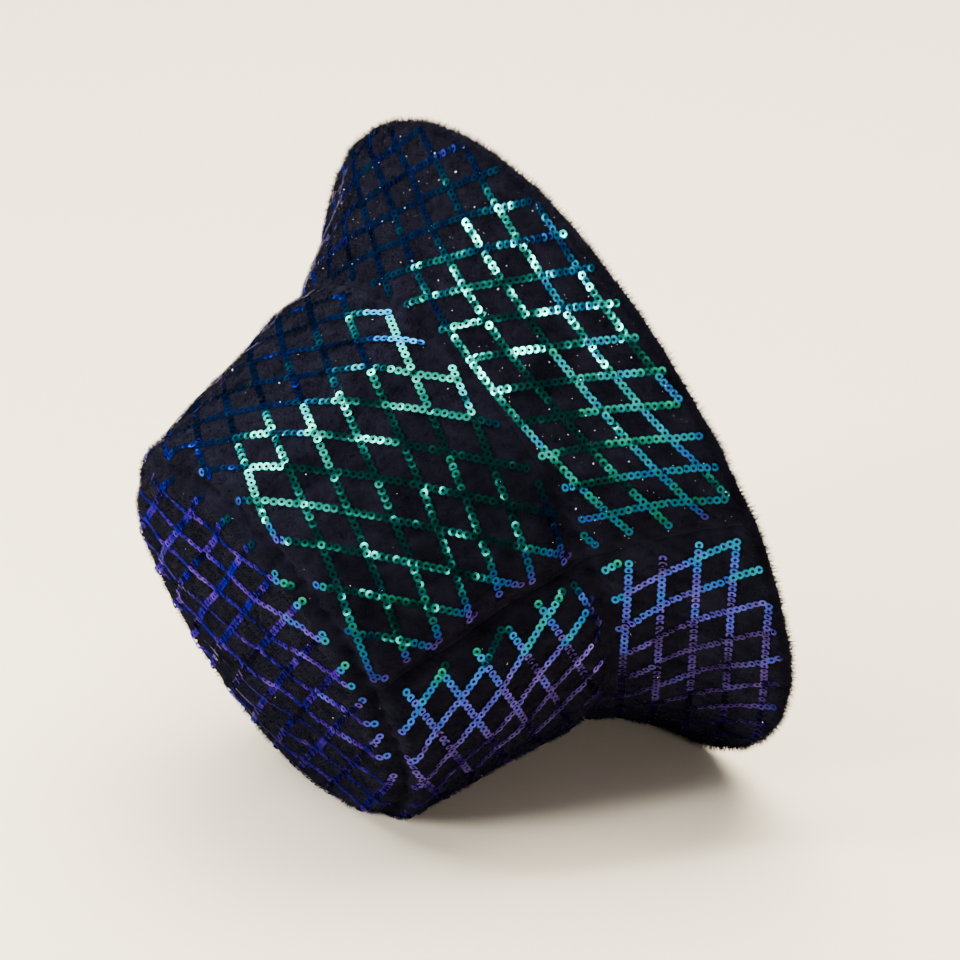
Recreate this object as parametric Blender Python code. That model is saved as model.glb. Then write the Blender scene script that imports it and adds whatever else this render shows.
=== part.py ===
"""Sequinned plush bucket hat, lying on its side on its crown edge and its brim edge.

Metres, +Z up. The hat's own axis runs from the crown tip to the head opening. It is drawn along +X
first, then the whole hat is leant until the crown edge and the brim edge lie on one level surface,
where the soft cloth flattens. Every cloth layer is an offset of one of three outer surfaces: the
crown tip, the side band and the brim.
"""
import math

import bmesh
import bpy
import numpy as np

# Overall shape of the outer cloth: half-widths of each ring, up the hat and across it.
TIP_UP = 0.0762
TIP_ACROSS = 0.0760
BASE_UP = 0.0930
BASE_ACROSS = 0.0937
EDGE_UP = 0.1293
EDGE_ACROSS = 0.1352

# Spacing of the rings along the hat, and how the soft hat bends as it lies.
CROWN_LENGTH = 0.0864
BRIM_LENGTH = 0.0449
CROWN_LEAN = math.radians(2.1)
BRIM_LEAN = math.radians(-6.8)
BASE_TILT = math.radians(-2.7)
EDGE_TILT = math.radians(-3.4)

# Softer shape: corners of the tip, dome of the tip, fullness of the band, flare and wave of the brim.
TIP_SQUARENESS = 2.1
TIP_DOME = 0.0080
BAND_FULLNESS = 0.0010
BRIM_FLARE = 0.5
EDGE_OVAL = 0.020
EDGE_WAVE = 0.025
EDGE_DROOP = 0.0020
SQUASH = 0.0035

# Cloth layers, from the outside in.
PLUSH = 0.0016
STIFFENER = 0.0010
UNDER_CLOTH = 0.0014
TAPE = 0.0005
LINING = 0.0008
SWEATBAND = 0.0015
CLEARANCE = 0.0004

# Seams, tapes, band and label.
SEAM_ANGLE = math.radians(84.0)
TIP_SEAM_GAP = 0.0010
PANEL_GAP = 0.0006
TAPE_WIDTH = 0.012
SWEATBAND_HEIGHT = 0.028
LABEL_WIDTH = 0.024
LABEL_LENGTH = 0.018
LABEL_THICKNESS = 0.0005

# A flat label across the round lining stands off it at its middle by more than at its corners.
LABEL_INSET = LABEL_WIDTH ** 2 / (8.0 * TIP_UP) + 0.5 * LABEL_THICKNESS + CLEARANCE

# Depth of each layer's outer face below the hat's outer face.
TAPE_DEPTH = PLUSH + CLEARANCE
LINING_DEPTH = TAPE_DEPTH + TAPE + CLEARANCE
SWEATBAND_DEPTH = LINING_DEPTH + LINING + CLEARANCE
STIFFENER_DEPTH = PLUSH + CLEARANCE
UNDER_DEPTH = STIFFENER_DEPTH + STIFFENER + CLEARANCE

# Where the grid lines of each surface run, as shares of the way along it. The side band's grid also
# has a line wherever one of its layers starts or ends, so that all its layers nest.
CIRCLE_STEPS = 60
TIP_ROWS = (0.0, 0.4, 0.75, 0.94, 1.0)
BAND_ROWS = (0.10, 0.145, 0.33, 0.50)
BRIM_ROWS = (0.25, 0.5, 0.7, 0.86)
ROW_SPACING = 0.015
SLOPE_STEP = 1e-4

# Colour, roughness and metallic value of each material.
LOOKS = {
    "plush": ((0.012, 0.012, 0.018), 0.95, 0.0),
    "stiffener": ((0.70, 0.70, 0.68), 0.90, 0.0),
    "under_cloth": ((0.014, 0.014, 0.018), 0.80, 0.0),
    "tape": ((0.03, 0.03, 0.035), 0.85, 0.0),
    "lining": ((0.020, 0.020, 0.028), 0.45, 0.0),
    "sweatband": ((0.018, 0.018, 0.020), 0.80, 0.0),
    "label": ((0.75, 0.75, 0.73), 0.60, 0.0),
}


def along(angle):
    """Direction of the hat's axis where it is tilted by angle from +X."""
    return np.array([math.cos(angle), 0.0, math.sin(angle)])


def ring(centre, tilt, semi_up, semi_across, angle, squareness=2.0, oval=0.0, wave=0.0, droop=0.0):
    """Point on a tilted ring round the hat's axis; angle 0 is its top, growing towards -Y."""
    up = along(tilt + math.pi / 2)
    c, s = math.cos(angle), math.sin(angle)
    share = (abs(c) ** squareness + abs(s) ** squareness) ** (-1.0 / squareness)
    share *= 1.0 + oval * math.cos(2 * angle) + wave * math.cos(3 * angle)
    across = np.array([0.0, -1.0, 0.0])
    point = centre + semi_up * c * share * up + semi_across * s * share * across
    return point + droop * math.cos(2 * angle) * along(tilt)


BASE_CENTRE = CROWN_LENGTH * along(CROWN_LEAN)
EDGE_CENTRE = BASE_CENTRE + BRIM_LENGTH * along(BRIM_LEAN)


def tip_ring(angle):
    return ring(np.zeros(3), 0.0, TIP_UP, TIP_ACROSS, angle, squareness=TIP_SQUARENESS)


def base_ring(angle):
    return ring(BASE_CENTRE, BASE_TILT, BASE_UP, BASE_ACROSS, angle)


def edge_ring(angle):
    return ring(EDGE_CENTRE, EDGE_TILT, EDGE_UP, EDGE_ACROSS, angle,
                oval=EDGE_OVAL, wave=EDGE_WAVE, droop=EDGE_DROOP)


def tip_surface(share, angle):
    """Domed crown tip, from its middle at share 0 to its seam at share 1."""
    return tip_ring(angle) * share - TIP_DOME * (1.0 - share ** 2) * along(0.0)


def band_surface(share, angle):
    """Side band, from the tip seam to the brim seam."""
    top = tip_ring(angle)
    radial = np.array([0.0, -math.sin(angle), math.cos(angle)])
    fullness = 4.0 * BAND_FULLNESS * share * (1.0 - share)
    return top + (base_ring(angle) - top) * share + radial * fullness


def brim_surface(share, angle):
    """Brim, from the band seam to its edge, leaving the band almost in line and flaring out."""
    start = base_ring(angle)
    end = edge_ring(angle)
    slope = start - tip_ring(angle)
    slope /= np.linalg.norm(slope)
    reach = np.linalg.norm(end - start)
    bend = start + 0.5 * (slope * reach * BRIM_FLARE + (end - start) * (1.0 - BRIM_FLARE))
    return (1 - share) ** 2 * start + 2 * share * (1 - share) * bend + share ** 2 * end


def inward(surface, share, angle):
    """Unit normal of a surface, pointing into the hat."""
    lo, hi = max(share - SLOPE_STEP, 0.0), share + SLOPE_STEP
    along_rows = surface(hi, angle) - surface(lo, angle)
    around = surface(share, angle + SLOPE_STEP) - surface(share, angle - SLOPE_STEP)
    normal = np.cross(along_rows, around)
    return normal / np.linalg.norm(normal)


def lowest_points():
    """Lowest points of the crown edge and the brim edge before the hat is leant."""
    return tip_ring(math.pi), edge_ring(math.pi)


def rest_lean():
    """Angle that brings the crown edge and the brim edge to one level."""
    crown, brim = lowest_points()
    return math.atan2(crown[2] - brim[2], brim[0] - crown[0])


LEAN = rest_lean()


def leant(point):
    c, s = math.cos(LEAN), math.sin(LEAN)
    return np.array([c * point[0] - s * point[2], point[1], s * point[0] + c * point[2]])


DROP = leant(lowest_points()[0])[2] + SQUASH


def middle_of_hat():
    """Middle of the hat's extent along X once it is leant."""
    angles = [2 * math.pi * i / CIRCLE_STEPS for i in range(CIRCLE_STEPS)]
    xs = [leant(tip_surface(row, a))[0] for row in TIP_ROWS for a in angles]
    xs += [leant(brim_surface(row, a))[0] for row in (*BRIM_ROWS, 1.0) for a in angles]
    return 0.5 * (min(xs) + max(xs))


MIDDLE = middle_of_hat()


def layer_point(surface, share, angle, depth):
    """Point at a depth below a surface, with the hat leant and flattened where it rests."""
    if share == 0.0 and surface is tip_surface:
        point = surface(0.0, 0.0) + depth * along(0.0)
    else:
        point = surface(share, angle) + depth * inward(surface, share, angle)
    x, y, z = leant(point)
    return (x - MIDDLE, y, max(z - DROP, depth))


def material(name):
    found = bpy.data.materials.get(name)
    if found:
        return found
    colour, roughness, metallic = LOOKS[name]
    made = bpy.data.materials.new(name)
    made.use_nodes = True
    shader = made.node_tree.nodes["Principled BSDF"]
    shader.inputs["Base Color"].default_value = (*colour, 1.0)
    shader.inputs["Roughness"].default_value = roughness
    shader.inputs["Metallic"].default_value = metallic
    return made


def add_object(name, mesh, look):
    mesh.materials.append(material(look))
    mesh.shade_smooth()
    mesh.set_sharp_from_angle(angle=math.radians(40.0))
    made = bpy.data.objects.new(name, mesh)
    bpy.context.scene.collection.objects.link(made)
    return made


def close_mesh(name, bm, look):
    bmesh.ops.recalc_face_normals(bm, faces=bm.faces)
    mesh = bpy.data.meshes.new(name)
    bm.to_mesh(mesh)
    bm.free()
    return add_object(name, mesh, look)


def bridge(bm, first, second, closed):
    """Quads between two rows of vertices of the same length."""
    count = len(first)
    for i in range(count if closed else count - 1):
        j = (i + 1) % count
        bm.faces.new((first[i], first[j], second[j], second[i]))


def shell(name, surface, rows, angles, depth, thickness, look):
    """Closed cloth piece between two depths; a full circle of angles joins up with itself."""
    closed = abs(angles[-1] - angles[0]) > 2 * math.pi * (1 - 1.5 / CIRCLE_STEPS)
    bm = bmesh.new()
    faces = []
    for level in (depth, depth + thickness):
        faces.append([[bm.verts.new(layer_point(surface, row, a, level)) for a in angles]
                      for row in rows])
    outer, inner = faces
    for grid in faces:
        for one, two in zip(grid[:-1], grid[1:]):
            bridge(bm, one, two, closed)
    bridge(bm, outer[0], inner[0], closed)
    bridge(bm, outer[-1], inner[-1], closed)
    if not closed:
        for side in (0, -1):
            bridge(bm, [r[side] for r in outer], [r[side] for r in inner], False)
    return close_mesh(name, bm, look)


def disc(name, rows, depth, thickness, look):
    """Round domed piece of the crown tip between two depths; rows[0] is its middle."""
    angles = full_circle()
    bm = bmesh.new()
    rims = []
    for level in (depth, depth + thickness):
        pole = bm.verts.new(layer_point(tip_surface, 0.0, 0.0, level))
        grid = [[bm.verts.new(layer_point(tip_surface, row, a, level)) for a in angles]
                for row in rows[1:]]
        for i, vertex in enumerate(grid[0]):
            bm.faces.new((pole, vertex, grid[0][(i + 1) % len(angles)]))
        for one, two in zip(grid[:-1], grid[1:]):
            bridge(bm, one, two, True)
        rims.append(grid[-1])
    bridge(bm, rims[0], rims[1], True)
    return close_mesh(name, bm, look)


def full_circle():
    return [2 * math.pi * i / CIRCLE_STEPS for i in range(CIRCLE_STEPS)]


def span(start, end):
    """Angles from start to end with about the spacing of the full circle."""
    steps = max(2, round((end - start) / (2 * math.pi) * CIRCLE_STEPS))
    return [start + (end - start) * i / steps for i in range(steps + 1)]


def front_angles(radius):
    """The panel over the top, between the two side seams."""
    margin = 0.5 * PANEL_GAP / radius
    return span(-SEAM_ANGLE + margin, SEAM_ANGLE - margin)


def back_angles(radius):
    """The panel underneath, between the two side seams."""
    margin = 0.5 * PANEL_GAP / radius
    return span(SEAM_ANGLE + margin, 2 * math.pi - SEAM_ANGLE - margin)


def rows_from(grid, start, end):
    """Rows of a piece that covers part of a surface, its ends and the grid's rows between them."""
    inside = [row for row in grid if start + ROW_SPACING < row < end - ROW_SPACING]
    return [start, *inside, end]


def band_start(depth):
    """Share of the side band where a layer clears the crown tip's layers."""
    return (PLUSH + TIP_SEAM_GAP + depth) / CROWN_LENGTH


BAND_END = 1.0 - 0.5 * PANEL_GAP / CROWN_LENGTH
BRIM_START = 0.5 * PANEL_GAP / BRIM_LENGTH
TIP_TAPE_START = band_start(TAPE_DEPTH)
TIP_TAPE_END = TIP_TAPE_START + TAPE_WIDTH / CROWN_LENGTH
BRIM_TAPE_START = BAND_END - TAPE_WIDTH / CROWN_LENGTH
SIDE_TAPE_START = TIP_TAPE_END + PANEL_GAP / CROWN_LENGTH
SIDE_TAPE_END = BRIM_TAPE_START - PANEL_GAP / CROWN_LENGTH
SWEATBAND_START = BAND_END - SWEATBAND_HEIGHT / CROWN_LENGTH
BAND_GRID = sorted((band_start(0.0), TIP_TAPE_START, band_start(LINING_DEPTH), TIP_TAPE_END,
                    SIDE_TAPE_START, SWEATBAND_START, SIDE_TAPE_END, BRIM_TAPE_START, BAND_END,
                    *BAND_ROWS))


def band_rows(start, end):
    """Rows of the side band's grid from start to end, both of which are on the grid."""
    return [row for row in BAND_GRID if start <= row <= end]


def make_crown():
    disc("crown_tip", TIP_ROWS, 0.0, PLUSH, "plush")
    rows = band_rows(band_start(0.0), BAND_END)
    shell("side_band_front", band_surface, rows, front_angles(TIP_UP), 0.0, PLUSH, "plush")
    shell("side_band_back", band_surface, rows, back_angles(TIP_UP), 0.0, PLUSH, "plush")


def make_brim():
    rows = rows_from(BRIM_ROWS, BRIM_START, 1.0)
    layers = (("brim_top", 0.0, PLUSH, "plush"),
              ("brim_stiffener", STIFFENER_DEPTH, STIFFENER, "stiffener"),
              ("brim_under", UNDER_DEPTH, UNDER_CLOTH, "under_cloth"))
    for name, depth, thickness, look in layers:
        for side, angles in (("front", front_angles(BASE_UP)), ("back", back_angles(BASE_UP))):
            shell(f"{name}_{side}", brim_surface, rows, angles, depth, thickness, look)


def make_lining():
    rim = 1.0 - SWEATBAND_DEPTH / TIP_UP
    disc("lining_tip", rows_from(TIP_ROWS[1:-1], 0.0, rim), LINING_DEPTH, LINING, "lining")
    rows = band_rows(band_start(LINING_DEPTH), BAND_END)
    shell("lining_front", band_surface, rows, front_angles(TIP_UP), LINING_DEPTH, LINING, "lining")
    shell("lining_back", band_surface, rows, back_angles(TIP_UP), LINING_DEPTH, LINING, "lining")


def make_tapes():
    """Tapes that cover the seam allowances between the plush and the lining."""
    shell("tip_seam_tape", band_surface, band_rows(TIP_TAPE_START, TIP_TAPE_END), full_circle(),
          TAPE_DEPTH, TAPE, "tape")
    shell("brim_seam_tape", band_surface, band_rows(BRIM_TAPE_START, BAND_END), full_circle(),
          TAPE_DEPTH, TAPE, "tape")
    rows = band_rows(SIDE_TAPE_START, SIDE_TAPE_END)
    half = 0.5 * TAPE_WIDTH / BASE_UP
    for name, middle in (("side_seam_tape_left", SEAM_ANGLE), ("side_seam_tape_right", -SEAM_ANGLE)):
        shell(name, band_surface, rows, [middle - half, middle, middle + half],
              TAPE_DEPTH, TAPE, "tape")


def make_sweatband():
    shell("sweatband", band_surface, band_rows(SWEATBAND_START, BAND_END), full_circle(),
          SWEATBAND_DEPTH, SWEATBAND, "sweatband")


def make_label():
    """Blank care label, sewn by one edge at the sweatband's top, lying on the lining."""
    share = SWEATBAND_START - 2 * CLEARANCE / CROWN_LENGTH
    hinge_depth = SWEATBAND_DEPTH + SWEATBAND + LABEL_INSET
    free_depth = LINING_DEPTH + LINING + LABEL_INSET
    hinge = np.array(layer_point(band_surface, share, math.pi, hinge_depth))
    far = share - LABEL_LENGTH / CROWN_LENGTH
    free = np.array(layer_point(band_surface, far, math.pi, free_depth))
    slope = math.atan2(hinge[2] - free[2], hinge[0] - free[0])
    bm = bmesh.new()
    bmesh.ops.create_cube(bm, size=1.0)
    for vertex in bm.verts:
        vertex.co.x = (vertex.co.x - 0.5) * LABEL_LENGTH
        vertex.co.y *= LABEL_WIDTH
        vertex.co.z *= LABEL_THICKNESS
    label = close_mesh("care_label", bm, "label")
    label.location = hinge
    label.rotation_euler = (0.0, -slope, 0.0)


def main():
    for old in list(bpy.data.objects):
        bpy.data.objects.remove(old, do_unlink=True)
    make_crown()
    make_brim()
    make_lining()
    make_tapes()
    make_sweatband()
    make_label()


main()
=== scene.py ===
"""Looks for the sequinned plush bucket hat, lying on its side as photographed, in the CAD's frame."""

import math

import bpy
import numpy as np
from mathutils import Matrix, Vector


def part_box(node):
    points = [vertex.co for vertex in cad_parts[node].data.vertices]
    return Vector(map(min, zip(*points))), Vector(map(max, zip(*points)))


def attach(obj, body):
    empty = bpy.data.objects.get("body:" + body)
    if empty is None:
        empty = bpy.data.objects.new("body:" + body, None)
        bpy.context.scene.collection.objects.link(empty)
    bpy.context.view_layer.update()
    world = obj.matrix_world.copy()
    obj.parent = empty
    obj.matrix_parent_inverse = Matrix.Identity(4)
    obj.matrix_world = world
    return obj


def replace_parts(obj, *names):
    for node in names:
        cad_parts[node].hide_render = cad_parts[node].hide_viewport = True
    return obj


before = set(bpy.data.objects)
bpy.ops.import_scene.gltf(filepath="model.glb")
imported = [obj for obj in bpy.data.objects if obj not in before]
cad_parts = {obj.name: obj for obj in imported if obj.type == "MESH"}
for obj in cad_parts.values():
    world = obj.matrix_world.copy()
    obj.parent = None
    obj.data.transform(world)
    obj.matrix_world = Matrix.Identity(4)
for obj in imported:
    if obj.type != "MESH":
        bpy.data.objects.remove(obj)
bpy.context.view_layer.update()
RANDOM = np.random.default_rng(11)

# ---------------------------------------------------------------- shape of the cloth, in metres
TIP_UP, TIP_ACROSS, TIP_SQUARENESS, TIP_DOME = 0.0762, 0.0760, 2.1, 0.0080
BASE_UP, BASE_ACROSS = 0.0930, 0.0937
EDGE_UP, EDGE_ACROSS = 0.1293, 0.1352
EDGE_OVAL, EDGE_WAVE, EDGE_DROOP = 0.020, 0.025, 0.0020
CROWN_LENGTH, BRIM_LENGTH = 0.0864, 0.0449
CROWN_LEAN, BRIM_LEAN = math.radians(2.1), math.radians(-6.8)
BASE_TILT, EDGE_TILT = math.radians(-2.7), math.radians(-3.4)
BAND_FULLNESS, BRIM_FLARE, SQUASH = 0.0010, 0.5, 0.0035
SEAM = math.radians(84.0)

PLUSH, STIFFENER, UNDER_CLOTH = 0.0016, 0.0010, 0.0014
TAPE, LINING, SWEATBAND, CLEARANCE = 0.0005, 0.0008, 0.0015, 0.0004
TAPE_WIDTH, SWEATBAND_HEIGHT = 0.012, 0.028
TAPE_DEPTH = PLUSH + CLEARANCE
LINING_DEPTH = TAPE_DEPTH + TAPE + CLEARANCE
SWEATBAND_DEPTH = LINING_DEPTH + LINING + CLEARANCE
UNDER_DEPTH = PLUSH + STIFFENER + 2 * CLEARANCE

# Flat patterns: how far each panel reaches along the hat, and the radius that it starts at.
BAND_REACH, BAND_CONE = 0.0882, (0.0933 - 0.0761) / 0.0882
BRIM_REACH, BRIM_CONE = 0.0585, 0.66
TIP_RADIUS, BAND_RADIUS, BRIM_RADIUS = 0.0762, 0.0761, 0.0933


def along(angle):
    return np.array([math.cos(angle), 0.0, math.sin(angle)])


def ring(centre, tilt, semi_up, semi_across, angle, squareness=2.0, oval=0.0, wave=0.0, droop=0.0):
    """Points of a tilted ring round the hat's axis; angle 0 is its top, growing towards -Y."""
    c, s = np.cos(angle)[..., None], np.sin(angle)[..., None]
    share = (abs(c) ** squareness + abs(s) ** squareness) ** (-1.0 / squareness)
    share = share * (1.0 + oval * np.cos(2 * angle)[..., None] + wave * np.cos(3 * angle)[..., None])
    up, across = along(tilt + math.pi / 2), np.array([0.0, -1.0, 0.0])
    point = centre + semi_up * c * share * up + semi_across * s * share * across
    return point + droop * np.cos(2 * angle)[..., None] * along(tilt)


BASE_CENTRE = CROWN_LENGTH * along(CROWN_LEAN)
EDGE_CENTRE = BASE_CENTRE + BRIM_LENGTH * along(BRIM_LEAN)


def tip_ring(angle):
    return ring(np.zeros(3), 0.0, TIP_UP, TIP_ACROSS, angle, TIP_SQUARENESS)


def base_ring(angle):
    return ring(BASE_CENTRE, BASE_TILT, BASE_UP, BASE_ACROSS, angle)


def edge_ring(angle):
    return ring(EDGE_CENTRE, EDGE_TILT, EDGE_UP, EDGE_ACROSS, angle, 2.0, EDGE_OVAL, EDGE_WAVE, EDGE_DROOP)


def tip_surface(share, angle):
    share = share[..., None]
    return tip_ring(angle) * share - TIP_DOME * (1.0 - share ** 2) * along(0.0)


def band_surface(share, angle):
    share = share[..., None]
    top = tip_ring(angle)
    radial = np.stack([0.0 * angle, -np.sin(angle), np.cos(angle)], -1)
    return top + (base_ring(angle) - top) * share + radial * 4.0 * BAND_FULLNESS * share * (1.0 - share)


def brim_surface(share, angle):
    share = share[..., None]
    start, end = base_ring(angle), edge_ring(angle)
    slope = unit(start - tip_ring(angle))
    reach = np.linalg.norm(end - start, axis=-1, keepdims=True)
    bend = start + 0.5 * (slope * reach * BRIM_FLARE + (end - start) * (1.0 - BRIM_FLARE))
    return (1 - share) ** 2 * start + 2 * share * (1 - share) * bend + share ** 2 * end


def unit(v):
    return v / np.maximum(np.linalg.norm(v, axis=-1, keepdims=True), 1e-12)


def leant(point):
    c, s = math.cos(LEAN), math.sin(LEAN)
    return np.stack([c * point[..., 0] - s * point[..., 2], point[..., 1],
                     s * point[..., 0] + c * point[..., 2]], -1)


def inward(surface, share, angle, step=1e-4):
    """Unit normals of a surface, pointing into the hat."""
    low = np.maximum(share - step, 0.0)
    rows = surface(share + step, angle) - surface(low, angle)
    around = surface(share, angle + step) - surface(share, angle - step)
    return unit(np.cross(rows, around))


BOTTOM = np.array([math.pi])
CROWN_LOW, BRIM_LOW = tip_ring(BOTTOM)[0], edge_ring(BOTTOM)[0]
LEAN = math.atan2(CROWN_LOW[2] - BRIM_LOW[2], BRIM_LOW[0] - CROWN_LOW[0])
DROP = leant(CROWN_LOW)[2] + SQUASH
TURN = np.linspace(0.0, 2 * math.pi, 61)
ENDS = np.concatenate([leant(tip_surface(np.full(61, s), TURN))[:, 0] for s in (0.0, 0.4, 0.75, 0.94, 1.0)]
                      + [leant(brim_surface(np.full(61, s), TURN))[:, 0] for s in (0.5, 0.7, 0.86, 1.0)])
MIDDLE = 0.5 * (ENDS.min() + ENDS.max())

# ---------------------------------------------------------------- softness of the real cloth


def waves(points, length, seed, count=7):
    """Smooth random field, about -1 to 1, with waves of about the given length."""
    r = np.random.default_rng(seed)
    total = np.zeros(points.shape[:-1])
    for _ in range(count):
        direction = unit(r.normal(size=3)) * 2 * math.pi / (length * r.uniform(0.7, 1.5))
        total += np.sin(points @ direction + r.uniform(0, 2 * math.pi))
    return total / math.sqrt(count)


def bell(distance, width):
    return np.exp(-(distance / width) ** 2)


def side_distance(angle, radius):
    """Distance round the hat to the nearer side seam."""
    turned = np.abs((angle + math.pi) % (2 * math.pi) - math.pi)
    return np.abs(turned - SEAM) * radius


def give(surface, share, angle, point):
    """How far the cloth is pushed in, all its layers together, at its seams and soft dents."""
    if surface is tip_surface:
        edge = (1.0 - share) * TIP_RADIUS
        push = 0.0008 * waves(point, 0.050, 3) + 0.0004 * waves(point, 0.020, 4)
        return push * (1.0 - bell(edge, 0.012))
    if surface is band_surface:
        along_hat = share * BAND_REACH
        ends = np.minimum(along_hat, BAND_REACH - along_hat)
        side = side_distance(angle, BAND_RADIUS + share * 0.017)
    else:
        along_hat = share * BRIM_REACH
        ends = along_hat
        side = side_distance(angle, BRIM_RADIUS + share * 0.036)
    push = 0.0010 * waves(point, 0.055, 5) + 0.0005 * waves(point, 0.022, 6)
    push = push * (1.0 - bell(ends, 0.010))
    if surface is band_surface:
        push += 0.0022 * bell(BAND_REACH - along_hat, 0.006)
        push += 0.0030 * bell(side, 0.0050) * np.clip(ends / 0.012, 0, 1)
    else:
        push += 0.0022 * bell(along_hat, 0.006)
        push += 0.0010 * bell(side, 0.004) * np.clip(along_hat / 0.01, 0, 1)
    return push


def corner(surface, share, angle):
    """How the crown's edge is rounded: both its panels draw back from the sharp corner."""
    radial = np.stack([0.0 * angle, -np.sin(angle), np.cos(angle)], -1)
    if surface is tip_surface:
        distance = (1.0 - share) * TIP_RADIUS
    elif surface is band_surface:
        distance = share * BAND_REACH
    else:
        return np.zeros(share.shape + (3,))
    pucker = 0.0005 * np.sin(angle * 61.0 + 2.0 * np.sin(angle * 7.0))
    amount = 0.0014 * bell(distance, 0.0060) + (0.0017 + pucker) * bell(distance, 0.0022)
    amount = amount - 0.0014 * bell(distance - 0.0080, 0.0042)
    return amount[..., None] * (along(0.0) - radial)


def layer_normal(surface, share, angle):
    """Inward normal of a layer; the side band's and the brim's agree where they are sewn together."""
    normal = inward(surface, share, angle)
    if surface is tip_surface:
        return normal
    joined = inward(band_surface, np.ones_like(share), angle)
    joined = unit(joined + inward(brim_surface, np.zeros_like(share), angle))
    gap = (1.0 - share) * BAND_REACH if surface is band_surface else share * BRIM_REACH
    near = bell(gap, 0.0045)[..., None]
    return unit(normal * (1.0 - near) + joined * near)


def place(surface, share, angle, depth=0.0):
    """Points at a depth below the hat's outer face, in the CAD's frame."""
    share, angle = np.broadcast_arrays(np.asarray(share, float), np.asarray(angle, float))
    base = surface(share, angle)
    push = give(surface, share, angle, base)
    depth = np.broadcast_to(np.asarray(depth, float), share.shape)
    point = base + (depth + push)[..., None] * layer_normal(surface, share, angle)
    point = leant(point + corner(surface, share, angle))
    height = np.maximum(point[..., 2] - DROP, np.maximum(depth, 0.0))
    return np.stack([point[..., 0] - MIDDLE, point[..., 1], height], -1)


# ---------------------------------------------------------------- flat patterns of the five panels


class Panel:
    """One plush panel: where it lies, its flat pattern, and the sequin net on it."""

    def __init__(self, node, surface, middle, half, origin, one, two):
        self.node, self.surface, self.middle, self.half = node, surface, middle, half
        self.origin, self.one, self.two = (np.array(v) / 1000.0 for v in (origin, one, two))
        if surface is band_surface:
            self.cone, self.reach, self.radius = BAND_CONE, BAND_REACH, BAND_RADIUS
        elif surface is brim_surface:
            self.cone, self.reach, self.radius = BRIM_CONE, BRIM_REACH, BRIM_RADIUS
        else:
            self.cone, self.reach, self.radius = 0.0, TIP_RADIUS, 0.0

    def flat(self, share, angle):
        """Place on the flat pattern of a share along the panel and an angle round it."""
        if self.cone == 0.0:
            return np.stack([self.reach * share * np.cos(angle), self.reach * share * np.sin(angle)], -1)
        far, turned = self.radius / self.cone + self.reach * share, self.cone * (angle - self.middle)
        return np.stack([far * np.cos(turned) - self.radius / self.cone, far * np.sin(turned)], -1)

    def folded(self, spot):
        """Share and angle of a place on the flat pattern."""
        if self.cone == 0.0:
            return np.hypot(spot[..., 0], spot[..., 1]) / self.reach, np.arctan2(spot[..., 1], spot[..., 0])
        x, y = spot[..., 0] + self.radius / self.cone, spot[..., 1]
        share = (np.hypot(x, y) - self.radius / self.cone) / self.reach
        return share, self.middle + np.arctan2(y, x) / self.cone

    def net_distance(self, spot):
        """Distance on the flat pattern to the nearest chain of sequins."""
        grid = np.linalg.solve(np.stack([self.one, self.two], 1), (spot - self.origin).reshape(-1, 2).T).T
        off = np.abs(grid - np.round(grid))
        area = abs(self.one[0] * self.two[1] - self.one[1] * self.two[0])
        to_one = off[:, 1] * area / np.hypot(*self.one)
        to_two = off[:, 0] * area / np.hypot(*self.two)
        return np.minimum(to_one, to_two).reshape(spot.shape[:-1])


PANELS = [
    Panel("crown_tip", tip_surface, 0.0, math.pi, (80.5, -19.1), (-3.4, 16.0), (-13.0, -16.0)),
    Panel("side_band_front", band_surface, 0.0, SEAM, (32.2, -21.5), (8.0, 13.0), (-6.2, 14.0)),
    Panel("side_band_back", band_surface, math.pi, math.pi - SEAM, (-3.6, -116.9), (9.3, -10.9), (6.4, 11.6)),
    Panel("brim_top_front", brim_surface, 0.0, SEAM, (27.5, -10.8), (7.5, 12.3), (-6.9, 13.0)),
    Panel("brim_top_back", brim_surface, math.pi, math.pi - SEAM, (-71.1, -122.8), (2.9, -14.9), (10.3, 12.0)),
]

# ---------------------------------------------------------------- meshes


def make_mesh(name, points, faces, material, smooth=True):
    """Mesh object from an array of points and an array of triangles or quads."""
    mesh = bpy.data.meshes.new(name)
    size = faces.shape[1]
    mesh.vertices.add(len(points))
    mesh.vertices.foreach_set("co", np.ascontiguousarray(points, np.float32).ravel())
    mesh.loops.add(faces.size)
    mesh.loops.foreach_set("vertex_index", np.ascontiguousarray(faces, np.int32).ravel())
    mesh.polygons.add(len(faces))
    mesh.polygons.foreach_set("loop_start", np.arange(0, faces.size, size, dtype=np.int32))
    mesh.polygons.foreach_set("use_smooth", np.full(len(faces), smooth))
    mesh.update(calc_edges=True)
    mesh.materials.append(material)
    made = bpy.data.objects.new(name, mesh)
    bpy.context.scene.collection.objects.link(made)
    return made


def grid_faces(rows, columns, closed, start=0, flip=False):
    """Quads of a grid of points whose rows lie one after another."""
    wide = columns if closed else columns - 1
    i, j = np.meshgrid(np.arange(rows - 1), np.arange(wide), indexing="ij")
    k = (j + 1) % columns
    quads = np.stack([i * columns + j, (i + 1) * columns + j, (i + 1) * columns + k, i * columns + k], -1)
    quads = quads.reshape(-1, 4) + start
    return quads[:, ::-1] if flip else quads


def rim_faces(first, second, closed):
    """Quads that join two equal rows of point numbers."""
    after = np.roll(first, -1), np.roll(second, -1)
    quads = np.stack([first, second, after[1], after[0]], -1)
    return quads if closed else quads[:-1]


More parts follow.
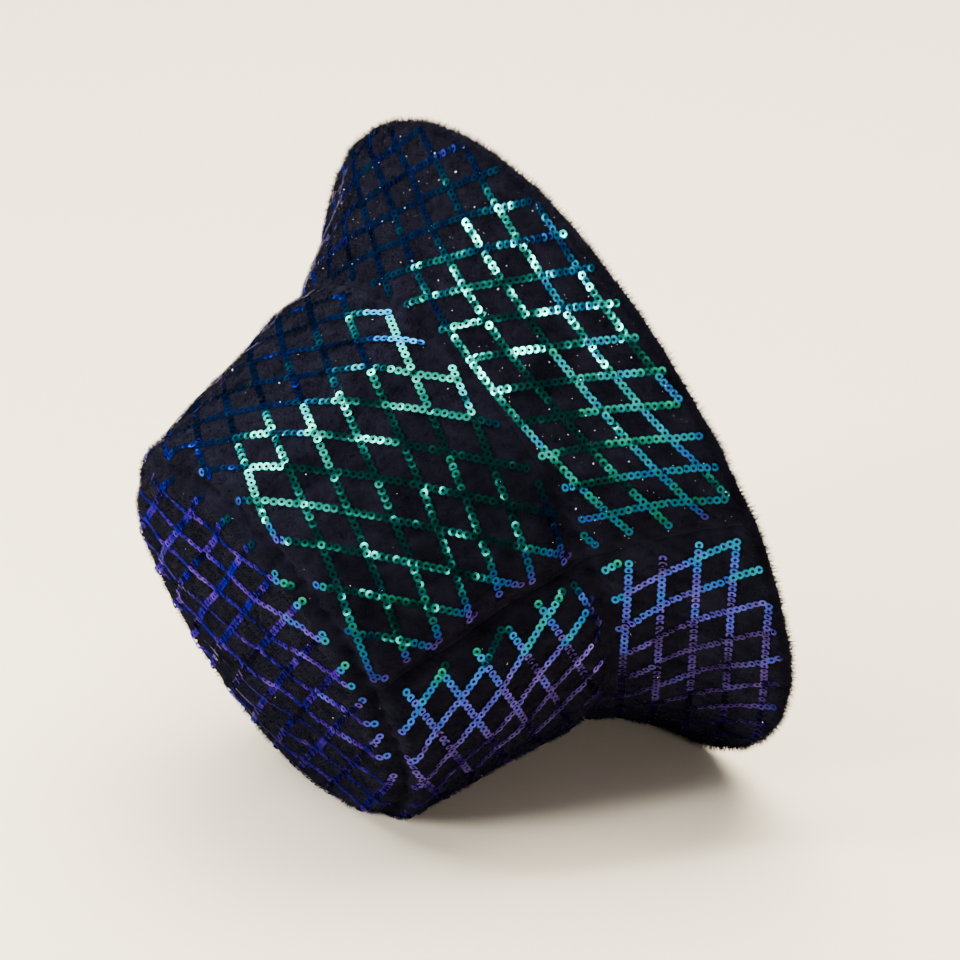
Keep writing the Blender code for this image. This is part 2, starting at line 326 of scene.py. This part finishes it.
def cloth_solid(name, outer, inner, closed, material):
    """Closed cloth piece between two grids of points of the same shape."""
    rows, columns = outer.shape[:2]
    count = rows * columns
    number = np.arange(count).reshape(rows, columns)
    parts = [grid_faces(rows, columns, closed), grid_faces(rows, columns, closed, count, True)]
    parts.append(rim_faces(number[0], number[0] + count, closed)[:, ::-1])
    parts.append(rim_faces(number[-1], number[-1] + count, closed))
    if not closed:
        parts.append(rim_faces(number[:, 0], number[:, 0] + count, False))
        parts.append(rim_faces(number[:, -1], number[:, -1] + count, False)[:, ::-1])
    points = np.concatenate([outer.reshape(-1, 3), inner.reshape(-1, 3)])
    return make_mesh(name, points, np.concatenate(parts), material)


def outward(obj):
    """Turns a closed mesh's faces outwards."""
    mesh = obj.data
    points = np.zeros(len(mesh.vertices) * 3, np.float32)
    mesh.vertices.foreach_get("co", points)
    mesh.calc_loop_triangles()
    corners = np.zeros(len(mesh.loop_triangles) * 3, np.int32)
    mesh.loop_triangles.foreach_get("vertices", corners)
    a, b, c = points.reshape(-1, 3)[corners.reshape(-1, 3)].astype(float).transpose(1, 0, 2)
    if (a * np.cross(b, c)).sum() < 0:
        mesh.flip_normals()
    return obj


def cloth_area(points, closed=False):
    """Area of a grid of points."""
    if closed:
        points = np.concatenate([points, points[:, :1]], 1)
    one, two = points[1:, 1:] - points[:-1, :-1], points[1:, :-1] - points[:-1, 1:]
    return 0.5 * np.linalg.norm(np.cross(one, two), axis=-1).sum()


# ---------------------------------------------------------------- materials


def new_material(name, colour, roughness, metallic=0.0, sheen=0.0, sheen_tint=(1, 1, 1), specular=0.5):
    made = bpy.data.materials.new(name)
    made.use_nodes = True
    shader = made.node_tree.nodes["Principled BSDF"]
    shader.inputs["Base Color"].default_value = (*colour, 1.0)
    shader.inputs["Roughness"].default_value = roughness
    shader.inputs["Metallic"].default_value = metallic
    shader.inputs["Sheen Weight"].default_value = sheen
    shader.inputs["Sheen Roughness"].default_value = 0.6
    shader.inputs["Sheen Tint"].default_value = (*sheen_tint, 1.0)
    shader.inputs["Specular IOR Level"].default_value = specular
    return made


def mottle(made, dark, light, scale, strength, bump_scale, bump_distance):
    """Uneven colour and a fine bump, both from noise in the object's own space."""
    tree = made.node_tree
    shader = tree.nodes["Principled BSDF"]
    where = tree.nodes.new("ShaderNodeTexCoord")
    noise = tree.nodes.new("ShaderNodeTexNoise")
    noise.inputs["Scale"].default_value = scale
    noise.inputs["Detail"].default_value = 4.0
    ramp = tree.nodes.new("ShaderNodeValToRGB")
    ramp.color_ramp.elements[0].position = 0.35
    ramp.color_ramp.elements[1].position = 0.70
    ramp.color_ramp.elements[0].color = (*dark, 1.0)
    ramp.color_ramp.elements[1].color = (*light, 1.0)
    fine = tree.nodes.new("ShaderNodeTexNoise")
    fine.inputs["Scale"].default_value = bump_scale
    fine.inputs["Detail"].default_value = 3.0
    bump = tree.nodes.new("ShaderNodeBump")
    bump.inputs["Strength"].default_value = strength
    bump.inputs["Distance"].default_value = bump_distance
    link = tree.links.new
    link(where.outputs["Object"], noise.inputs["Vector"])
    link(where.outputs["Object"], fine.inputs["Vector"])
    link(noise.outputs["Fac"], ramp.inputs["Fac"])
    link(ramp.outputs["Color"], shader.inputs["Base Color"])
    link(fine.outputs["Fac"], bump.inputs["Height"])
    link(bump.outputs["Normal"], shader.inputs["Normal"])
    return made


PLUSH_LOOK = mottle(new_material("plush", (0.0035, 0.0035, 0.0065), 0.95, sheen=0.02,
                                 sheen_tint=(0.35, 0.38, 0.80), specular=0.02),
                    (0.0015, 0.0015, 0.0030), (0.0045, 0.0042, 0.0085), 90.0, 0.8, 2600.0, 0.0006)
LINING_LOOK = mottle(new_material("lining", (0.006, 0.006, 0.009), 0.50, specular=0.12),
                     (0.005, 0.005, 0.007), (0.008, 0.008, 0.011), 120.0, 0.25, 5200.0, 0.0001)
UNDER_LOOK = mottle(new_material("under_cloth", (0.006, 0.006, 0.008), 0.9, specular=0.08),
                    (0.004, 0.004, 0.006), (0.008, 0.008, 0.011), 160.0, 0.6, 4200.0, 0.0003)
SWEATBAND_LOOK = mottle(new_material("sweatband", (0.009, 0.009, 0.011), 0.85, specular=0.10),
                        (0.007, 0.007, 0.009), (0.012, 0.012, 0.014), 200.0, 0.7, 3400.0, 0.0004)
TAPE_LOOK = mottle(new_material("tape", (0.012, 0.012, 0.015), 0.9, specular=0.08), (0.010, 0.010, 0.012),
                   (0.015, 0.015, 0.018), 300.0, 0.5, 4000.0, 0.0002)
STIFFENER_LOOK = mottle(new_material("stiffener", (0.7, 0.7, 0.68), 0.9), (0.64, 0.64, 0.62),
                        (0.76, 0.76, 0.74), 400.0, 0.5, 3000.0, 0.0003)
LABEL_LOOK = mottle(new_material("label", (0.75, 0.75, 0.73), 0.5, sheen=0.1), (0.70, 0.70, 0.68),
                    (0.80, 0.80, 0.78), 150.0, 0.3, 6000.0, 0.0001)
THREAD_LOOK = mottle(new_material("thread", (0.02, 0.02, 0.025), 0.6), (0.016, 0.016, 0.020),
                     (0.030, 0.030, 0.036), 900.0, 0.4, 9000.0, 0.0001)
GLITTER_LOOK = new_material("glitter", (0.85, 0.87, 0.92), 0.25, metallic=1.0)


def sequin_material():
    """Metallised film whose colour, with painted sheen in it, is set ring by ring."""
    made = new_material("sequins", (0.1, 0.4, 0.5), 0.19, metallic=1.0)
    tree = made.node_tree
    colour = tree.nodes.new("ShaderNodeVertexColor")
    colour.layer_name = "film_with_painted_sheen"
    tree.links.new(colour.outputs["Color"], tree.nodes["Principled BSDF"].inputs["Base Color"])
    tree.nodes["Principled BSDF"].inputs["Specular Tint"].default_value = (0.16, 0.11, 0.42, 1.0)
    return made


SEQUIN_LOOK = sequin_material()

# ---------------------------------------------------------------- plush panels

PILE_LENGTH = 0.0020
ROLL_TURN = np.linspace(0.0, math.pi, 13)[1:]
ROLL_START = 0.965
FOLD_DEPTH = UNDER_DEPTH + UNDER_CLOTH + 0.0007


def nap(points):
    """Small uneven rise of the pile."""
    return 0.00025 * waves(points, 0.0045, 21, 9)


def panel_grid(panel, rows, columns):
    """Shares and angles of a panel's grid, closer together near its ends."""
    t = np.linspace(0.0, 1.0, rows)
    share = t - 0.10 * np.sin(2 * math.pi * t) / 2.0
    if panel.cone == 0.0:
        share = np.linspace(0.004, 1.0, rows) ** 0.8
        angle = np.linspace(0.0, 2 * math.pi, columns, endpoint=False)
    else:
        angle = np.linspace(panel.middle - panel.half, panel.middle + panel.half, columns)
    if panel.surface is brim_surface:
        share = share * ROLL_START
    return np.meshgrid(share, angle, indexing="ij")


def brim_roll(angle, lift, turn):
    """Points where the brim's plush rolls over its edge, at a turn from the outer to the under face."""
    share = np.full_like(angle, ROLL_START)
    edge = place(brim_surface, share, angle, 0.0)
    before = place(brim_surface, share - 0.01, angle, 0.0)
    out = unit(edge - before)
    deep = place(brim_surface, share, angle, FOLD_DEPTH)
    centre, radius = 0.5 * (edge + deep), 0.5 * np.linalg.norm(deep - edge, axis=-1, keepdims=True)
    normal = unit(edge - deep)
    point = centre + (radius + lift) * (math.cos(turn) * normal + math.sin(turn) * out)
    point[..., 2] = np.maximum(point[..., 2], max(0.0, -lift))
    return point


def plush_panel(panel):
    """Closed plush piece; a brim panel also rolls over the brim's edge and a little way back."""
    rows, columns = (70, 260) if panel.cone == 0.0 else (84, 240)
    share, angle = panel_grid(panel, rows, columns)
    rough = place(panel.surface, share, angle)
    outer = place(panel.surface, share, angle, -nap(rough))
    inner = place(panel.surface, share, angle, np.full(share.shape, PLUSH))
    flat = cloth_area(inner, panel.cone == 0.0)
    if panel.surface is brim_surface:
        around = angle[0]
        outs, ins = [], []
        for turn in ROLL_TURN:
            thickness = PLUSH + (0.0006 - PLUSH) * turn / math.pi
            outs.append(brim_roll(around, 0.0002, turn))
            ins.append(brim_roll(around, -thickness, turn))
        for back in (0.945, 0.92, 0.89):
            outs.append(place(brim_surface, np.full_like(around, back), around, FOLD_DEPTH + 0.0001))
            ins.append(place(brim_surface, np.full_like(around, back), around, FOLD_DEPTH - 0.0006))
        outer = np.concatenate([outer, np.stack(outs)])
        inner = np.concatenate([inner, np.stack(ins)])
        flat = cloth_area(outer)
    made = outward(cloth_solid(panel.node + "_plush", outer, inner, panel.cone == 0.0, PLUSH_LOOK))
    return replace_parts(made, panel.node), flat


def scattered(panel, count):
    """Random shares and angles, spread evenly over the cloth of a panel."""
    share, angle = RANDOM.random(count * 3), RANDOM.random(count * 3)
    radius = panel.radius + (panel.cone * panel.reach if panel.cone else panel.reach) * share
    keep = RANDOM.random(count * 3) * radius.max() < radius
    share, angle = share[keep][:count], angle[keep][:count]
    return share, panel.middle + panel.half * (2.0 * angle - 1.0)


def local_frame(surface, share, angle):
    """Points just on the plush, with unit vectors along the hat, round it and out of it."""
    step = 0.004
    low, high = np.clip(share - step, 0.003, 1.0), np.clip(share + step, 0.003, 1.0)
    rows = unit(place(surface, high, angle) - place(surface, low, angle))
    around = unit(place(surface, share, angle + step) - place(surface, share, angle - step))
    normal = unit(np.cross(around, rows))
    return place(surface, share, angle), rows, around, normal


def strands(name, roots, directions, lengths, radius):
    """Fine closed cones of pile, one for each root."""
    side = unit(np.cross(directions, unit(RANDOM.normal(size=roots.shape))))
    other = np.cross(directions, side)
    count = len(roots)
    points = np.zeros((count, 4, 3))
    for i in range(3):
        turn = 2 * math.pi * i / 3
        points[:, i] = roots + radius * (math.cos(turn) * side + math.sin(turn) * other)
    points[:, 3] = roots + directions * lengths[:, None]
    points[..., 2] = np.maximum(points[..., 2], 0.00005)
    faces = np.array([[0, 1, 3], [1, 2, 3], [2, 0, 3], [2, 1, 0]])
    faces = (np.arange(count)[:, None, None] * 4 + faces).reshape(-1, 3)
    return outward(make_mesh(name, points.reshape(-1, 3), faces, PLUSH_LOOK))


def pile(panel, count):
    """Pile of a panel, shorter under the chains of sequins and longer along the brim's edge."""
    share, angle = scattered(panel, count)
    root, rows, around, normal = local_frame(panel.surface, share, angle)
    clear = np.clip((panel.net_distance(panel.flat(share, angle)) - 0.0009) / 0.0012, 0.38, 1.0)
    lean = RANDOM.normal(size=(3, len(share), 1)) * 0.32
    direction = unit(normal + lean[0] * rows + lean[1] * around + 0.15 * rows)
    length = PILE_LENGTH * clear * RANDOM.uniform(0.7, 1.25, len(share))
    roots = root - 0.0002 * normal
    if panel.surface is brim_surface:
        extra = count // 3
        turn = RANDOM.uniform(0.0, math.pi, extra)
        where = panel.middle + panel.half * RANDOM.uniform(-1, 1, extra)
        edge = np.zeros((extra, 3))
        inside = np.zeros((extra, 3))
        for i, (low, high) in enumerate(zip(np.arange(24) / 24, np.arange(1, 25) / 24)):
            chosen = (turn >= low * math.pi) & (turn < high * math.pi)
            middle = 0.5 * (low + high) * math.pi
            edge[chosen] = brim_roll(where[chosen], 0.0, middle)
            inside[chosen] = brim_roll(where[chosen], -0.0015, middle)
        out = unit(edge - inside)
        roots = np.concatenate([roots, edge - 0.0002 * out])
        direction = np.concatenate([direction, unit(out + 0.35 * RANDOM.normal(size=out.shape))])
        length = np.concatenate([length, 1.35 * PILE_LENGTH * RANDOM.uniform(0.5, 1.4, extra)])
    return strands(panel.node + "_pile", roots, direction, length, 0.00011)


# ---------------------------------------------------------------- ring sequins

RING_OUTER, RING_INNER, RING_SIDES = 0.00150, 0.00058, 12
RING_PITCH = 0.00256
SIDE_MARGIN = 0.0040
RING_TILT, EDGE_TILT_SPREAD, RING_LAP = 0.040, 0.085, 0.04
# Painted sheen: the film's colour steps with how far a ring faces a fixed view direction, and a little a
# direction above, so the brightness and hue of its reflections are painted into the colour.
PAINTED_SHEEN_STEPS = (0.20, 0.40, 0.54, 0.66, 0.76, 0.84, 0.92, 1.0)
FILM_HUES_WITH_PAINTED_SHEEN = ((0.130, 0.105, 0.215), (0.090, 0.066, 0.240), (0.038, 0.042, 0.280), (0.010, 0.055, 0.270),
                (0.004, 0.095, 0.190), (0.004, 0.160, 0.120), (0.003, 0.085, 0.070), (0.001, 0.034, 0.030))
PAINTED_SHEEN_VIEW = unit(np.array([-0.49, -0.80, 0.35]))
PAINTED_SHEEN_ABOVE = unit(np.array([-0.50, -0.10, 0.85]))


def net_places(panel):
    """Places of the rings on the flat pattern, the direction of each one's chain there, and its cell edge."""
    span = range(-24, 25)
    spots, ways, edges = [], [], []
    for i in span:
        for j in span:
            node = panel.origin + i * panel.one + j * panel.two
            for way, first in ((panel.one, 0), (panel.two, 1)):
                rings = round(np.hypot(*way) / RING_PITCH)
                for k in range(first, rings):
                    spots.append(node + way * k / rings)
                    ways.append(way)
                    edges.append(2 * (49 * (i + 24) + j + 24) + first)
    spots, ways, edges = np.array(spots), unit(np.array(ways)), np.array(edges)
    share, angle = panel.folded(spots)
    low, high = (-1.0, 0.950) if panel.cone == 0.0 else (0.045, 0.965)
    margin = 1.0 if panel.cone == 0.0 else 1.0 - SIDE_MARGIN / (panel.half * panel.radius)
    if panel.surface is brim_surface:
        high = 0.972
    keep = (share > low) & (share < high) & (np.abs(angle - panel.middle) <= panel.half * margin)
    return spots[keep], ways[keep], edges[keep]


def darker_low_front(panel, angle):
    """How much darker a ring's colour is made low on the two front panels, towards the side seams."""
    if panel.middle != 0.0 or panel.cone == 0.0:
        return np.ones((len(angle), 1))
    start, end = (48.0, 68.0) if panel.surface is band_surface else (58.0, 78.0)
    t = np.clip((np.degrees(np.abs(angle)) - start) / (end - start), 0.0, 1.0)
    return (1.0 - 0.62 * t * t * (3.0 - 2.0 * t))[:, None]


def film_colour_with_painted_sheen(normal):
    """Colour of the film with painted sheen: hue and brightness set by how far a ring faces a fixed view
    direction and a direction above, the same on both sides of the hat.
    """
    mirrored = normal * (1.0, 0.0, 1.0) - np.abs(normal) * (0.0, 1.0, 0.0)
    facing = 0.75 * (mirrored @ PAINTED_SHEEN_VIEW) + 0.25 * (mirrored @ PAINTED_SHEEN_ABOVE)
    colours = np.array(FILM_HUES_WITH_PAINTED_SHEEN)
    mixed = np.stack([np.interp(facing, PAINTED_SHEEN_STEPS, colours[:, k]) for k in range(3)], -1)
    return mixed * RANDOM.uniform(0.75, 1.25, (len(normal), 1))


def sequins(panel):
    """Chains of overlapping cupped rings, each a closed body, sewn on a panel."""
    spots, ways, edges = net_places(panel)
    count = len(spots)
    share, angle = panel.folded(spots)
    centre, rows, around, normal = local_frame(panel.surface, share, angle)
    ahead = panel.folded(spots + ways * 0.0008)
    along_chain = place(panel.surface, *ahead) - place(panel.surface, share, angle)
    along_chain = unit(along_chain - (along_chain * normal).sum(-1, keepdims=True) * normal)
    beside = np.cross(normal, along_chain)
    loose = RANDOM.normal(size=(2, count, 1)) * RING_TILT
    sway = RANDOM.normal(size=(2, 2 * 49 * 49, 1)) * EDGE_TILT_SPREAD
    tilt = loose + sway[:, edges]
    facing = unit(normal + (RING_LAP + tilt[0]) * along_chain + tilt[1] * beside)
    first = unit(along_chain - (along_chain * facing).sum(-1, keepdims=True) * facing)
    second = np.cross(facing, first)
    lift = 0.00058 + 0.00015 * RANDOM.normal(size=(count, 1))
    centre = centre + lift * normal
    profile = ((RING_INNER, 0.00004), (RING_OUTER, 0.00008), (0.5 * (RING_INNER + RING_OUTER), -0.00008))
    points = np.zeros((count, 3, RING_SIDES, 3))
    for level, (radius, rise) in enumerate(profile):
        for i in range(RING_SIDES):
            turn = 2 * math.pi * i / RING_SIDES
            arm = radius * (math.cos(turn) * first + math.sin(turn) * second)
            points[:, level, i] = centre + arm + rise * facing
    points[..., 2] = np.maximum(points[..., 2], 0.0001)
    loop = np.arange(RING_SIDES)
    after = (loop + 1) % RING_SIDES
    quads = []
    for low, high in ((0, 1), (1, 2), (2, 0)):
        quads.append(np.stack([low * RING_SIDES + loop, high * RING_SIDES + loop,
                               high * RING_SIDES + after, low * RING_SIDES + after], -1))
    quads = np.concatenate(quads)
    faces = (np.arange(count)[:, None, None] * 3 * RING_SIDES + quads).reshape(-1, 4)
    made = make_mesh(panel.node + "_sequins", points.reshape(-1, 3), faces, SEQUIN_LOOK, False)
    # The ring colour attribute holds the film colour with painted sheen.
    layer = made.data.color_attributes.new("film_with_painted_sheen", "FLOAT_COLOR", "POINT")
    # Ring colours: film colour with painted sheen, made darker low on the two front panels.
    colours = np.concatenate([film_colour_with_painted_sheen(facing) * darker_low_front(panel, angle), np.ones((count, 1))], 1)
    layer.data.foreach_set("color", np.repeat(colours, 3 * RING_SIDES, 0).astype(np.float32).ravel())
    return outward(made)


def specks(panel, count):
    """Silver flakes caught in the pile."""
    share, angle = scattered(panel, count)
    root, rows, around, normal = local_frame(panel.surface, share, angle)
    facing = unit(normal + 0.5 * RANDOM.normal(size=normal.shape))
    side = unit(np.cross(facing, rows))
    other = np.cross(facing, side)
    centre = root + normal * RANDOM.uniform(0.0010, 0.0017, (count, 1))
    radius = RANDOM.uniform(0.00010, 0.00020, (count, 1))
    arms = [centre + radius * v for v in (side, other, -side, -other)]
    points = np.stack([*arms, centre + 0.00006 * facing, centre - 0.00006 * facing], 1)
    points[..., 2] = np.maximum(points[..., 2], 0.00005)
    faces = np.array([[0, 1, 4], [1, 2, 4], [2, 3, 4], [3, 0, 4], [1, 0, 5], [2, 1, 5], [3, 2, 5], [0, 3, 5]])
    faces = (np.arange(count)[:, None, None] * 6 + faces).reshape(-1, 3)
    return outward(make_mesh(panel.node + "_specks", points.reshape(-1, 3), faces, GLITTER_LOOK,
                             False))


# ---------------------------------------------------------------- inner layers


def layer(name, node, surface, shares, angles, depth, thickness, material, slot, closed=False):
    """Closed cloth piece of one inner layer, and its flat area."""
    share, angle = np.meshgrid(shares, angles, indexing="ij")
    fine = 0.00005 * waves(place(surface, share, angle), 0.006, 31)
    outer = place(surface, share, angle, depth + np.zeros(share.shape))
    inner = place(surface, share, angle, depth + thickness - 0.00005 + fine)
    made = outward(cloth_solid(name, outer, inner, closed, material))
    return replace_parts(made, node), cloth_area(inner, closed)


def arc(middle, half, gap, count):
    return np.linspace(middle - half + gap, middle + half - gap, count)


FULL = np.linspace(0.0, 2 * math.pi, 240, endpoint=False)
BAND_START = (PLUSH + 0.0010 + TAPE_DEPTH) / CROWN_LENGTH
BAND_END = 1.0 - 0.0003 / CROWN_LENGTH
SWEATBAND_START = BAND_END - SWEATBAND_HEIGHT / CROWN_LENGTH


def inner_layers():
    made = []
    for side, middle, half in (("front", 0.0, SEAM), ("back", math.pi, math.pi - SEAM)):
        angles = arc(middle, half, 0.004, 200)
        shares = np.linspace((PLUSH + 0.0010 + LINING_DEPTH) / CROWN_LENGTH, BAND_END, 40)
        made.append((*layer(f"lining_{side}_cloth", f"lining_{side}", band_surface, shares, angles,
                            LINING_DEPTH, LINING, LINING_LOOK, "lining"), 0.26, ["side_band_" + side + "_plush"]))
        angles = arc(middle, half, 0.0035, 220)
        made.append((*layer(f"brim_under_{side}_cloth", f"brim_under_{side}", brim_surface,
                            np.linspace(0.012, ROLL_START, 34), angles, UNDER_DEPTH, UNDER_CLOTH, UNDER_LOOK,
                            "under_cloth"), 0.30, [f"brim_stiffener_{side}_sheet"]))
        made.append((*layer(f"brim_stiffener_{side}_sheet", f"brim_stiffener_{side}", brim_surface,
                            np.linspace(0.06, ROLL_START, 20), angles, PLUSH + CLEARANCE, STIFFENER,
                            STIFFENER_LOOK, "stiffener"), 0.30, [f"brim_top_{side}_plush"]))
    rim = 1.0 - SWEATBAND_DEPTH / TIP_UP
    made.append((*layer("lining_tip_cloth", "lining_tip", tip_surface, np.linspace(0.004, rim, 50), FULL,
                        LINING_DEPTH, LINING, LINING_LOOK, "lining", True), 0.145, ["crown_tip_plush"]))
    made.append((*layer("sweatband_cloth", "sweatband", band_surface,
                        np.linspace(SWEATBAND_START, BAND_END, 24), FULL, SWEATBAND_DEPTH, SWEATBAND,
                        SWEATBAND_LOOK, "sweatband", True), 0.55, ["lining_front_cloth", "lining_back_cloth"]))
    tape = TAPE_WIDTH / CROWN_LENGTH
    made.append((*layer("tip_seam_tape_cloth", "tip_seam_tape", band_surface,
                        np.linspace(BAND_START, BAND_START + tape, 6), FULL, TAPE_DEPTH, TAPE,
                        TAPE_LOOK, "tape", True), 0.48, ["side_band_front_plush"]))
    made.append((*layer("brim_seam_tape_cloth", "brim_seam_tape", band_surface,
                        np.linspace(BAND_END - tape, BAND_END, 6), FULL, TAPE_DEPTH, TAPE,
                        TAPE_LOOK, "tape", True), 0.56, ["side_band_front_plush"]))
    spread = 0.5 * TAPE_WIDTH / BASE_UP
    for side, middle in (("left", SEAM), ("right", -SEAM)):
        made.append((*layer(f"side_seam_tape_{side}_cloth", f"side_seam_tape_{side}", band_surface,
                            np.linspace(BAND_START + tape + 0.007, BAND_END - tape - 0.007, 30),
                            middle + np.linspace(-spread, spread, 8), TAPE_DEPTH, TAPE,
                            TAPE_LOOK, "tape"), 0.012, ["side_band_front_plush"]))
    for piece, area, wide, under in made:
        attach(piece, "hat")


def stitches(name, surface, share, depth, spacing, length):
    """A row of stitches round the hat, each a small closed spindle."""
    count = int(2 * math.pi * BASE_UP / spacing)
    angle = np.linspace(0.0, 2 * math.pi, count, endpoint=False)
    shares = np.full(count, share)
    centre = place(surface, shares, angle, depth)
    way = unit(place(surface, shares, angle + 0.01, depth) - place(surface, shares, angle - 0.01, depth))
    out = unit(place(surface, shares, angle, depth + 0.001) - centre)
    side = np.cross(way, out)
    points = np.zeros((count, 14, 3))
    for i in range(6):
        turn = 2 * math.pi * i / 6
        arm = 0.00022 * (math.cos(turn) * out + math.sin(turn) * side)
        points[:, i] = centre - 0.3 * length * way + arm
        points[:, 6 + i] = centre + 0.3 * length * way + arm
    points[:, 12] = centre - 0.5 * length * way - 0.0002 * out
    points[:, 13] = centre + 0.5 * length * way - 0.0002 * out
    faces = []
    for i in range(6):
        j = (i + 1) % 6
        faces += [[i, j, 6 + j], [i, 6 + j, 6 + i], [j, i, 12], [6 + i, 6 + j, 13]]
    faces = (np.arange(count)[:, None, None] * 14 + np.array(faces)).reshape(-1, 3)
    return outward(make_mesh(name, points.reshape(-1, 3), faces, THREAD_LOOK))


def care_label():
    """Blank ribbon, sewn by one edge at the sweatband's top."""
    low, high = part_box("care_label")
    node = bpy.data.objects["care_label"]
    points = np.array([node.matrix_world @ v.co for v in node.data.vertices])
    low, high = points.min(0), points.max(0)
    t, w = np.meshgrid(np.linspace(0.0, 1.0, 24), np.linspace(-1.0, 1.0, 32), indexing="ij")
    hinge, free = points[points[:, 0] > high[0] - 0.0006].mean(0), points[points[:, 0] < low[0] + 0.0006].mean(0)
    way = unit(hinge - free)
    rise = np.array([-way[2], 0.0, way[0]])
    middle = free + t[..., None] * (hinge - free) + w[..., None] * np.array([0.0, 0.0118, 0.0])
    curl = 0.00025 * (1 - t) * np.cos(w * 2.5) + 0.0001 * np.sin(t * 9.0)
    top = middle + (0.00018 + curl)[..., None] * rise
    under = middle + (curl - 0.00018)[..., None] * rise
    made = outward(cloth_solid("care_label_ribbon", top, under, False, LABEL_LOOK))
    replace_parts(made, "care_label")
    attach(made, "label")


# ---------------------------------------------------------------- build the hat

PILE_COUNTS = {"crown_tip": 30000, "side_band_front": 36000, "side_band_back": 36000,
               "brim_top_front": 36000, "brim_top_back": 36000}
SPECK_COUNTS = {"crown_tip": 30, "side_band_front": 60, "side_band_back": 40,
                "brim_top_front": 420, "brim_top_back": 60}

for panel in PANELS:
    cloth, flat_area = plush_panel(panel)
    with_it = [pile(panel, PILE_COUNTS[panel.node]), sequins(panel), specks(panel, SPECK_COUNTS[panel.node])]
    for piece in (cloth, *with_it):
        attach(piece, "hat")

inner_layers()
for row in (stitches("sweatband_stitches", band_surface, SWEATBAND_START + 0.02,
                     SWEATBAND_DEPTH + SWEATBAND, 0.0042, 0.0030),
            stitches("sweatband_seam_stitches", band_surface, BAND_END - 0.02,
                     SWEATBAND_DEPTH + SWEATBAND, 0.0042, 0.0030),
            stitches("brim_stitches", brim_surface, 0.905, FOLD_DEPTH + 0.0001, 0.0046, 0.0032)):
    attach(row, "hat")
care_label()

# ---------------------------------------------------------------- studio


def sweep():
    """Plain pale floor."""
    size = 6.0
    points = np.array([(-size, -size, 0), (size, -size, 0), (size, size, 0), (-size, size, 0)], float)
    look = new_material("floor", (0.80, 0.69, 0.52), 0.9, specular=0.1)
    made = make_mesh("floor", points, np.array([[0, 1, 2, 3]]), look)


def softbox(name, azimuth, elevation, distance, width, height, power, colour):
    """Rectangular light that faces the hat from a direction."""
    a, e = math.radians(azimuth), math.radians(elevation)
    where = Vector((math.cos(a) * math.cos(e), math.sin(a) * math.cos(e), math.sin(e)))
    data = bpy.data.lights.new(name, "AREA")
    data.shape, data.size, data.size_y, data.energy, data.color = "RECTANGLE", width, height, power, colour
    made = bpy.data.objects.new(name, data)
    made.location = where * distance + Vector((0.0, 0.0, 0.1))
    made.rotation_euler = (-where).to_track_quat("-Z", "Y").to_euler()
    bpy.context.scene.collection.objects.link(made)


def washlight(name, where, width, height, power, colour):
    """Light over the floor behind the hat, facing straight down."""
    data = bpy.data.lights.new(name, "AREA")
    data.shape, data.size, data.size_y, data.energy, data.color = "RECTANGLE", width, height, power, colour
    made = bpy.data.objects.new(name, data)
    made.location = where
    bpy.context.scene.collection.objects.link(made)


def skylight(name, strength, spread, colour):
    """Even light straight down over the whole floor."""
    data = bpy.data.lights.new(name, "SUN")
    data.energy, data.angle, data.color = strength, math.radians(spread), colour
    made = bpy.data.objects.new(name, data)
    bpy.context.scene.collection.objects.link(made)


def surround(seen, felt):
    """World that is pale to look at and dim as a light."""
    world = bpy.data.worlds.new("studio")
    world.use_nodes = True
    tree = world.node_tree
    tree.nodes["Background"].inputs["Color"].default_value = (*felt, 1.0)
    pale = tree.nodes.new("ShaderNodeBackground")
    pale.inputs["Color"].default_value = (*seen, 1.0)
    mix = tree.nodes.new("ShaderNodeMixShader")
    ray = tree.nodes.new("ShaderNodeLightPath")
    tree.links.new(ray.outputs["Is Camera Ray"], mix.inputs["Fac"])
    tree.links.new(tree.nodes["Background"].outputs["Background"], mix.inputs[1])
    tree.links.new(pale.outputs["Background"], mix.inputs[2])
    tree.links.new(mix.outputs["Shader"], tree.nodes["World Output"].inputs["Surface"])
    bpy.context.scene.world = world


def camera(azimuth, elevation, distance, lens, aim):
    a, e = math.radians(azimuth), math.radians(elevation)
    ahead = Vector((-math.sin(a) * math.cos(e), math.cos(a) * math.cos(e), -math.sin(e)))
    right = Vector((math.cos(a), math.sin(a), 0.0))
    data = bpy.data.cameras.new("camera")
    data.lens, data.sensor_width = lens, 36.0
    made = bpy.data.objects.new("camera", data)
    above = right.cross(ahead)
    turn = Matrix((right, above, -ahead)).transposed()
    made.matrix_world = Matrix.Translation(aim - distance * ahead) @ turn.to_4x4()
    bpy.context.scene.collection.objects.link(made)
    bpy.context.scene.camera = made


sweep()
softbox("overhead", 35.0, 74.0, 1.9, 1.9, 1.9, 120.0, (1.0, 0.945, 0.87))
softbox("left", 162.0, 56.0, 1.6, 0.22, 0.8, 34.0, (0.98, 1.0, 0.99))
softbox("left low", -176.0, 20.0, 1.6, 0.24, 0.50, 48.0, (0.98, 1.0, 0.99))
softbox("front", -98.0, 13.0, 1.9, 0.16, 0.30, 10.0, (1.0, 1.0, 1.0))
washlight("background", (2.0, 3.0, 2.2), 3.2, 2.2, 240.0, (1.0, 0.935, 0.85))
skylight("sky", 4.0, 60.0, (1.0, 0.935, 0.85))
surround((2.9, 2.5, 2.1), (0.22, 0.22, 0.25))
camera(-33.7, 20.5, 1.30, 134.55, Vector((0.01597, -0.01166, 0.11490)))
